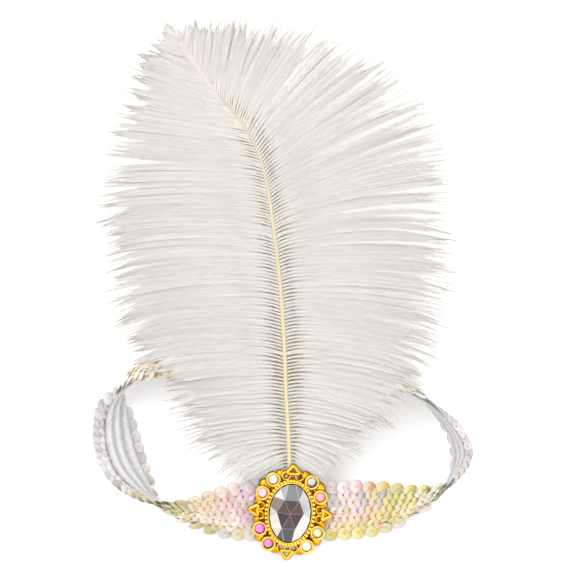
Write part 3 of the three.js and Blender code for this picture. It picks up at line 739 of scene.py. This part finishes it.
setting = {
    "bezelProfile": [  # scale of the crystal's opening, growth past it in mm, height
        (0, 0, 0.2), (1, 1.4, 0.2), (1, 1.8, 0.5), (1, 1.8, 2.8), (1, 1.5, 3.2), (1, 0.7, 4.3),
        (1, 0.5, 4.9), (1, 0.25, 5.1), (1, 0.02, 4.9), (1, 0.0, 3.3), (0, 0, 3.3),
    ],
    "beads": 48, "beadRadius": 0.88, "beadHeight": 4.35, "beadGrow": 1.15,
    "wire": 0.72, "wireHeight": 2.6, "wireGrid": (40, 8),
    "plate": (14.0, 15.4, 0.5, 2.0), "plateBevel": 0.4,  # half width, half height, low and high
    "cupHeights": (0.4, 4.1), "cupInset": 0.25, "cupWall": 0.55, "cupSink": 1.7, "cupRim": (0.3, 0.55),
    "topLoop": [(-2.7, 17.4), (-1.5, 19.0), (-0.3, 20.4), (0.3, 20.4), (1.5, 19.0), (2.7, 17.4), (0, 17.0)],
    "sideLoop": [(14.0, 2.4), (16.0, 1.3), (17.7, 0.3), (17.7, -0.3), (16.0, -1.3), (14.0, -2.4), (14.4, 0)],
    "topRing": (2.9, 15.9, 1.75), "sideRing": (12.8, 2.1, 1.6),
    "webs": [(5.5, 16.4, 2.3), (14.0, 4.5, 2.1), (12.2, 11.7, 2.5), (10.2, 10.3, 1.5)],  # low swells
    "webHeight": 1.9, "webFlat": 0.6, "granules": [(5.0, 18.0, 0.7), (15.2, 3.9, 0.7), (13.4, 12.6, 0.7)],
    "finialWire": 0.95, "finialFill": (15.6, 1.0), "finialTips": (17.8, 20.5, 0.8),  # end beads: x, y, radius
    "paintedLightHeights": (0.8, 4.4),  # painted shade in the hollows and a painted highlight on what stands up
}


def ovalAt(turn, grow):
    halfX = brooch["crystalHalfWidth"] + brooch["seatGap"] + grow
    halfY = brooch["crystalHalfHeight"] + brooch["seatGap"] + grow
    return Vector((halfX * math.cos(turn), halfY * math.sin(turn), 0))


def bezelPlace(u, v):
    profile = setting["bezelProfile"]
    scale, grow, height = profile[min(int(round(u * (len(profile) - 1))), len(profile) - 1)]
    return (ovalAt(2 * math.pi * v, grow) * scale + up * height) * mm


def wireLoop(name, points, radius, height):  # a round wire through the points, lying flat
    route, nudge = [Vector((x, y, height)) for x, y in points], 0.002

    def place(u, v):
        here = curvePoint(route, u, True)
        tangent = (curvePoint(route, u + nudge, True) - curvePoint(route, u - nudge, True)).normalized()
        turn = 2 * math.pi * v
        return (here + tangent.cross(up) * radius * math.cos(turn) + up * radius * math.sin(turn)) * mm
    return wrapGrid(name, *setting["wireGrid"], place)


def addCup(x, y):  # a round collet: a cylinder whose top is inset and sunk to hold the stone
    deselect()
    (low, high), radius = setting["cupHeights"], brooch["cupRadius"] - setting["cupInset"]
    bpy.ops.mesh.primitive_cylinder_add(vertices=28, radius=radius * mm, depth=(high - low) * mm,
                                        location=(x * mm, y * mm, 0.5 * (low + high) * mm))
    cup = bpy.context.object
    pickTopFaces(cup, 0.9)
    bpy.ops.mesh.inset(thickness=setting["cupWall"] * mm)
    bpy.ops.mesh.extrude_region_move(TRANSFORM_OT_translate={"value": (0, 0, -setting["cupSink"] * mm)})
    bpy.ops.object.mode_set(mode="OBJECT")
    bpy.ops.object.shade_smooth_by_angle(angle=creaseAngle)
    deselect()
    rimIn, rimWire = setting["cupRim"]
    bpy.ops.mesh.primitive_torus_add(major_segments=36, minor_segments=10, major_radius=(radius - rimIn) * mm,
                                     minor_radius=rimWire * mm, location=(x * mm, y * mm, high * mm))
    rim = bpy.context.object
    bpy.ops.object.shade_smooth()
    return [cup, rim]


def addRing(x, y, radius):
    deselect()
    bpy.ops.mesh.primitive_torus_add(major_segments=32, minor_segments=8, major_radius=radius * mm,
                                     minor_radius=setting["wire"] * mm,
                                     location=(x * mm, y * mm, setting["wireHeight"] * mm))
    bpy.ops.object.shade_smooth()
    return bpy.context.object


def addGranule(x, y, z, radius, flat=1.0):
    deselect()
    bpy.ops.mesh.primitive_uv_sphere_add(segments=14, ring_count=9, radius=radius * mm,
                                         location=(x * mm, y * mm, z * mm), scale=(1, 1, flat))
    bpy.ops.object.shade_smooth()
    return bpy.context.object


def addBackPlate():  # a low oval web that ties the cups and finials to the bezel
    halfX, halfY, low, high = setting["plate"]
    deselect()
    bpy.ops.mesh.primitive_cylinder_add(vertices=72, radius=1, depth=1, location=(0, 0, 0))
    plate = bpy.context.object
    bpy.ops.object.mode_set(mode="EDIT")
    bpy.ops.transform.resize(value=(halfX * mm, halfY * mm, (high - low) * mm), center_override=(0, 0, 0))
    bpy.ops.transform.translate(value=(0, 0, 0.5 * (low + high) * mm))
    bpy.ops.object.mode_set(mode="OBJECT")
    edge = plate.modifiers.new("edge", "BEVEL")
    edge.width, edge.segments = setting["plateBevel"] * mm, 3
    bpy.ops.object.modifier_apply(modifier="edge")
    bpy.ops.object.shade_smooth_by_angle(angle=creaseAngle)
    return plate


def mirrored(points, signX, signY):
    return [(signX * x, signY * y) for x, y in points]


def makeSetting():
    base = wrapGrid("giltSetting", len(setting["bezelProfile"]) - 1, 96, bezelPlace)
    parts = [addBackPlate()]
    for i in range(setting["beads"]):
        spot = ovalAt(2 * math.pi * (i + 0.5) / setting["beads"], setting["beadGrow"])
        parts.append(addGranule(spot.x, spot.y, setting["beadHeight"], setting["beadRadius"]))
    wire, wireHeight, webHeight = setting["finialWire"], setting["wireHeight"], setting["webHeight"]
    tipX, tipY, tipRadius = setting["finialTips"]
    fillX, fillRadius = setting["finialFill"]
    for sign in (-1, 1):
        parts.append(wireLoop("topFinial", mirrored(setting["topLoop"], 1, sign), wire, wireHeight))
        parts.append(wireLoop("sideFinial", mirrored(setting["sideLoop"], sign, 1), wire, wireHeight))
        parts.append(addGranule(0, sign * tipY, wireHeight, tipRadius))
        parts.append(addGranule(sign * tipX, 0, wireHeight, tipRadius))
        parts.append(addGranule(sign * fillX, 0, webHeight, fillRadius))
        for twin in (-1, 1):
            x, y, radius = setting["topRing"]
            parts.append(addRing(twin * x, sign * y, radius))
            x, y, radius = setting["sideRing"]
            parts.append(addRing(sign * x, twin * y, radius))
            for x, y, radius in setting["webs"]:
                parts.append(addGranule(twin * x, sign * y, webHeight, radius, setting["webFlat"]))
            for x, y, radius in setting["granules"]:
                parts.append(addGranule(twin * x, sign * y, wireHeight, radius))
            for x, y in brooch["cups"]:
                parts += addCup(twin * x, sign * y)
    pick(base)
    for part in parts:
        part.select_set(True)
    bpy.ops.object.join()
    # the height share is kept for painted light: dark in the hollows, bright on what stands up
    heights = np.array([v.co.z for v in base.data.vertices]) / mm
    rise = smooth(heights, *setting["paintedLightHeights"])
    paintPoints(base, "giltPaintedLight", np.stack([rise, rise, rise], 1))
    base.data.transform(broochPlace)
    return base


def makeGilt():  # cast zinc alloy with bright gold plating: a warm mirror, with a painted highlight where high or facing out and painted shade in the hollows and on turned sides
    material, tree = newMaterial("giltCasting")
    grainSize, grainDepth = 0.909, 0.08  # mm, drawn coarser than the casting's own grain so that it shows
    riseShare, grainShare = 0.8, 0.3  # how far height, as painted light, and grain move the tone
    place = addNode(tree, "ShaderNodeTexCoord")
    rise = addNode(tree, "ShaderNodeVertexColor", {"layer_name": "giltPaintedLight"})
    grain = addNode(tree, "ShaderNodeTexNoise", {"Scale": 1 / (grainSize * mm), "Detail": 3.0},
                    {"Vector": place.outputs["Object"]})
    # faces turned out from the band get a painted highlight, faces turned aside painted shade
    facingForPaintedLight = addNode(tree, "ShaderNodeVectorMath", {"operation": "DOT_PRODUCT", 1: tuple(frontFace)},
                     {0: place.outputs["Normal"]})
    turned = addNode(tree, "ShaderNodeMapRange", {"From Max": 1.0, "To Min": -0.3, "To Max": 0.15},
                     {"Value": facingForPaintedLight.outputs["Value"]})
    paintedLightTone = addNode(tree, "ShaderNodeMath", {"operation": "MULTIPLY_ADD", 1: riseShare},
                     {0: rise.outputs["Color"], 2: turned.outputs["Result"]})
    grained = addNode(tree, "ShaderNodeMath", {"operation": "MULTIPLY_ADD", 1: grainShare},
                      {0: grain.outputs["Fac"], 2: paintedLightTone.outputs["Value"]})
    tint = addNode(tree, "ShaderNodeValToRGB", links={"Fac": grained.outputs["Value"]})
    stops = tint.color_ramp.elements
    for spot, colour in ((0.38, "#8a570a"), (0.62, "#c4860f"), (0.86, "#e2aa22")):
        stops.new(spot).color = hexColour(colour)
    stops[0].color, stops[-1].color = hexColour("#3d2403"), hexColour("#f8d25a")
    rough = addNode(tree, "ShaderNodeMapRange", {"To Min": 0.14, "To Max": 0.32},
                    {"Value": grain.outputs["Fac"]})
    bump = addNode(tree, "ShaderNodeBump", {"Strength": 0.25, "Distance": grainDepth * mm},
                   {"Height": grain.outputs["Fac"]})
    shader = addNode(tree, "ShaderNodeBsdfPrincipled", {"Metallic": 1.0},
                     {"Base Color": tint.outputs["Color"], "Roughness": rough.outputs["Result"],
                      "Normal": bump.outputs["Normal"]})
    closeMaterial(tree, shader)
    return material


giltSetting = makeSetting()
wear(giltSetting, makeGilt())
putOn(giltSetting, "gilt", "brooch_setting")
print(f"setting done: {len(giltSetting.data.polygons)} faces")


# Oval crystal: a foil-backed cut stone, each facet painted with a fixed tone as a painted reflection and its
# bevelled edges with painted glints

crystal = {
    "seat": 3.45, "seatShare": 0.8, "girdleLow": 3.9, "girdleHigh": 5.0, "girdleSides": 16,
    "tableHeight": 8.2, "tableRise": 0.12,
    "table": [(-2.9, 6.3), (3.6, 6.3), (5.9, 1.0), (2.6, -6.2), (-3.2, -6.2), (-5.8, 0.8)],
    "crownPaintedReflections": [  # painted reflections by the way the facet faces, in degrees from the right
        (5, "#c3c8ce"), (25, "#b9c0c8"), (42, "#a0867a"), (60, "#c9c6c2"), (80, "#767a7b"), (100, "#83888a"),
        (118, "#d2d4d3"), (140, "#85746e"), (160, "#a79b94"), (180, "#c6c1bb"), (205, "#d9d5cf"),
        (228, "#cbc5be"), (250, "#3a393c"), (272, "#454346"), (295, "#dedbd6"), (320, "#e6e3df"),
        (345, "#c8c4c0"),
    ],
    "tablePaintedReflections": [
        (90, "#452f2e"), (35, "#553832"), (320, "#3a2624"), (270, "#46383a"), (215, "#2c1f23"),
        (145, "#4a3535"),
    ],
    "edge": 0.2, "edgeTone": "#c4bbb5", "tableEdgePaintedGlint": "#8a766f", "back": "#8d9094",  # edge in mm; the edge tones are painted glints
}


def nearestTone(tones, angle):
    gap = lambda row: abs((row[0] - angle + 180) % 360 - 180)
    return hexColour(min(tones, key=gap)[1])


def makeCrystal():
    points = [(x, y, crystal["tableHeight"]) for x, y in crystal["table"]]
    rings = ((1, crystal["girdleHigh"]), (1, crystal["girdleLow"]), (crystal["seatShare"], crystal["seat"]))
    for scale, height in rings:
        for j in range(crystal["girdleSides"]):
            turn = 2 * math.pi * (j + 0.5) / crystal["girdleSides"]
            points.append((scale * brooch["crystalHalfWidth"] * math.cos(turn),
                           scale * brooch["crystalHalfHeight"] * math.sin(turn), height))
    stone = meshFromArrays("ovalCrystal", np.array(points) * mm, np.zeros((0, 3), int))
    pick(stone)
    bpy.ops.object.mode_set(mode="EDIT")
    bpy.ops.mesh.select_all(action="SELECT")
    bpy.ops.mesh.convex_hull()
    bpy.ops.mesh.dissolve_limited(angle_limit=math.radians(1))
    pickTopFaces(stone, 0.99)
    bpy.ops.mesh.poke(offset=crystal["tableRise"] * mm)
    bpy.ops.mesh.select_all(action="SELECT")
    bpy.ops.mesh.bevel(offset=0.5 * crystal["edge"] * mm, segments=1, affect="EDGES")  # edges catch the light
    bpy.ops.object.mode_set(mode="OBJECT")
    layer = stone.data.color_attributes.new("facetPaintedReflection", "FLOAT_COLOR", "CORNER")
    edgeWidth, tableHeight = crystal["edge"] * mm, crystal["tableHeight"] * mm
    for face in stone.data.polygons:
        angle = math.degrees(math.atan2(face.center.y, face.center.x))
        corners = [stone.data.vertices[v].co for v in face.vertices]
        longest = max((a - b).length for a, b in zip(corners, corners[1:] + corners[:1]))
        # slim bevelled faces get a painted glint, the table and crown facets painted reflections by direction
        if face.area / longest < 1.2 * edgeWidth:  # the slim faces are the bevelled edges
            inner = min(v.z for v in corners) > 0.98 * tableHeight
            tone = hexColour(crystal["tableEdgePaintedGlint" if inner else "edgeTone"])
        elif face.normal.z > 0.9 and face.center.z > 0.95 * tableHeight:
            tone = nearestTone(crystal["tablePaintedReflections"], angle)
        elif face.normal.z > 0.1:
            tone = nearestTone(crystal["crownPaintedReflections"], angle)
        else:
            tone = hexColour(crystal["back"])
        for loop in face.loop_indices:
            layer.data[loop].color = tone
    stone.data.transform(broochPlace)
    return stone


def makeFoiledAcrylic():  # clear acrylic over silver foil: hard gloss over facets painted with fixed tones as painted reflections and glints
    material, tree = newMaterial("foiledAcrylic")
    cloudSize = 3.846  # mm
    tone = addNode(tree, "ShaderNodeVertexColor", {"layer_name": "facetPaintedReflection"})
    place = addNode(tree, "ShaderNodeTexCoord")
    cloud = addNode(tree, "ShaderNodeTexNoise", {"Scale": 1 / (cloudSize * mm), "Detail": 2.0},
                    {"Vector": place.outputs["Object"]})
    lift = addNode(tree, "ShaderNodeMapRange", {"To Min": 0.72, "To Max": 1.2},
                   {"Value": cloud.outputs["Fac"]})
    tint = addNode(tree, "ShaderNodeVectorMath", {"operation": "SCALE"},
                   {0: tone.outputs["Color"], "Scale": lift.outputs["Result"]})
    shader = addNode(tree, "ShaderNodeBsdfPrincipled",
                     {"Roughness": 0.12, "IOR": 1.49, "Coat Weight": 0.6, "Coat Roughness": 0.02},
                     {"Base Color": tint.outputs["Vector"]})
    closeMaterial(tree, shader)
    return material


ovalCrystal = makeCrystal()
wear(ovalCrystal, makeFoiledAcrylic())
putOn(ovalCrystal, "crystal", "crystal")
print(f"crystal done: {len(ovalCrystal.data.polygons)} facets")


# Rim stones: the imported cut stones, each with its own foil colour, lighter on facets facing up and to the
# left as painted light

rimStones = [  # painted highlight tone and painted shade tone of each foil colour
    ("#f6efe8", "#cfc4bc"), ("#f9e3e3", "#f09fae"), ("#d9dde0", "#5f646b"), ("#f8b9bd", "#e8808f"),
    ("#ffffff", "#e4dfd8"), ("#e4e6c6", "#b9bd96"), ("#ee8ee6", "#7c7068"), ("#f59cf0", "#d64fd0"),
]


def makeRimStone(number, light, dark):  # moulded acrylic over coloured foil: facets swing from a painted highlight to painted shade by the way they face
    material, tree = newMaterial(f"foiledStone{number}")
    cloudSize, cloudShare = 1.923, 1.6  # mm, and how far the cloud moves the tone
    paintedLightFrom = (-0.55, 0.7, 0.45)
    place = addNode(tree, "ShaderNodeTexCoord")
    facingForPaintedLight = addNode(tree, "ShaderNodeVectorMath", {"operation": "DOT_PRODUCT", 1: paintedLightFrom},
                     {0: place.outputs["Normal"]})
    cloud = addNode(tree, "ShaderNodeTexNoise", {"Scale": 1 / (cloudSize * mm), "Detail": 1.0},
                    {"Vector": place.outputs["Object"]})
    uneven = addNode(tree, "ShaderNodeMath", {"operation": "MULTIPLY_ADD", 1: cloudShare},
                     {0: cloud.outputs["Fac"], 2: facingForPaintedLight.outputs["Value"]})
    swing = addNode(tree, "ShaderNodeMapRange", {"From Min": 0.3, "From Max": 1.7},
                    {"Value": uneven.outputs["Value"]})
    tint = addNode(tree, "ShaderNodeMix", {"data_type": "RGBA", 6: hexColour(dark), 7: hexColour(light)},
                   {"Factor": swing.outputs["Result"]})
    shader = addNode(tree, "ShaderNodeBsdfPrincipled",
                     {"Roughness": 0.12, "IOR": 1.49, "Coat Weight": 1.0, "Coat Roughness": 0.03},
                     {"Base Color": tint.outputs[2]})
    closeMaterial(tree, shader)
    return material


for number, (light, dark) in enumerate(rimStones, 1):
    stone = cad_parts[f"rim_stone_{number}"]
    material = makeRimStone(number, light, dark)
    for materialSlot in stone.material_slots:
        materialSlot.material = material
print("rim stones done")


# Floor, light and camera

studio = {
    "floorSize": 4.0, "floor": "#f7f7f7", "floorGlow": 0.2, "world": 1.1,
    "softboxes": {  # power, size and place from the target, in watts and metres
        "keySoftbox": (6.0, 0.8, (-0.4, 0.2, 1.05)), "fillSoftbox": (2.5, 0.9, (0.9, -0.5, 0.8)),
    },
    "target": (-0.9, 65.2, 15), "distance": 1.0, "elevation": 80,  # mm, metres and degrees
    "lens": 141.7, "sensor": 36, "clipStart": 0.01,
}


def makeFloor():  # matt white card with a faint tooth
    deselect()
    bpy.ops.mesh.primitive_plane_add(size=studio["floorSize"])
    floor = bpy.context.object
    floor.name = "paleFloor"
    material, tree = newMaterial("whiteCard")
    toothSize, toothDepth = 2, 0.1  # mm
    place = addNode(tree, "ShaderNodeTexCoord")
    tooth = addNode(tree, "ShaderNodeTexNoise", {"Scale": 1 / (toothSize * mm), "Detail": 2.0},
                    {"Vector": place.outputs["Object"]})
    bump = addNode(tree, "ShaderNodeBump", {"Strength": 0.05, "Distance": toothDepth * mm},
                   {"Height": tooth.outputs["Fac"]})
    shader = addNode(tree, "ShaderNodeBsdfPrincipled",
                     {"Base Color": hexColour(studio["floor"]), "Roughness": 0.9,
                      "Emission Color": hexColour(studio["floor"]), "Emission Strength": studio["floorGlow"]},
                     {"Normal": bump.outputs["Normal"]})
    closeMaterial(tree, shader)
    wear(floor, material)


def addSoftbox(name, power, size, spot, target):
    deselect()
    bpy.ops.object.light_add(type="AREA", location=spot)
    lamp = bpy.context.object
    lamp.name = name
    lamp.data.energy = power
    lamp.data.size = size
    lamp.rotation_euler = (Vector(target) - Vector(spot)).to_track_quat("-Z", "Y").to_euler()


makeFloor()
world = bpy.data.worlds.new("softStudio")
bpy.context.scene.world = world
world.use_nodes = True
world.node_tree.nodes["Background"].inputs["Color"].default_value = (1, 1, 1, 1)
world.node_tree.nodes["Background"].inputs["Strength"].default_value = studio["world"]
middle = Vector(studio["target"]) * mm
for boxName, (power, size, away) in studio["softboxes"].items():
    addSoftbox(boxName, power, size, middle + Vector(away), middle)

deselect()
bpy.ops.object.camera_add()
camera = bpy.context.object
tilt = math.radians(studio["elevation"])
camera.location = middle + Vector((0, -math.cos(tilt), math.sin(tilt))) * studio["distance"]
camera.rotation_euler = (math.pi / 2 - tilt, 0, 0)
camera.data.sensor_width = studio["sensor"]
camera.data.lens = studio["lens"]
camera.data.clip_start = studio["clipStart"]
bpy.context.scene.camera = camera
bpy.context.scene.view_settings.view_transform = "Standard"
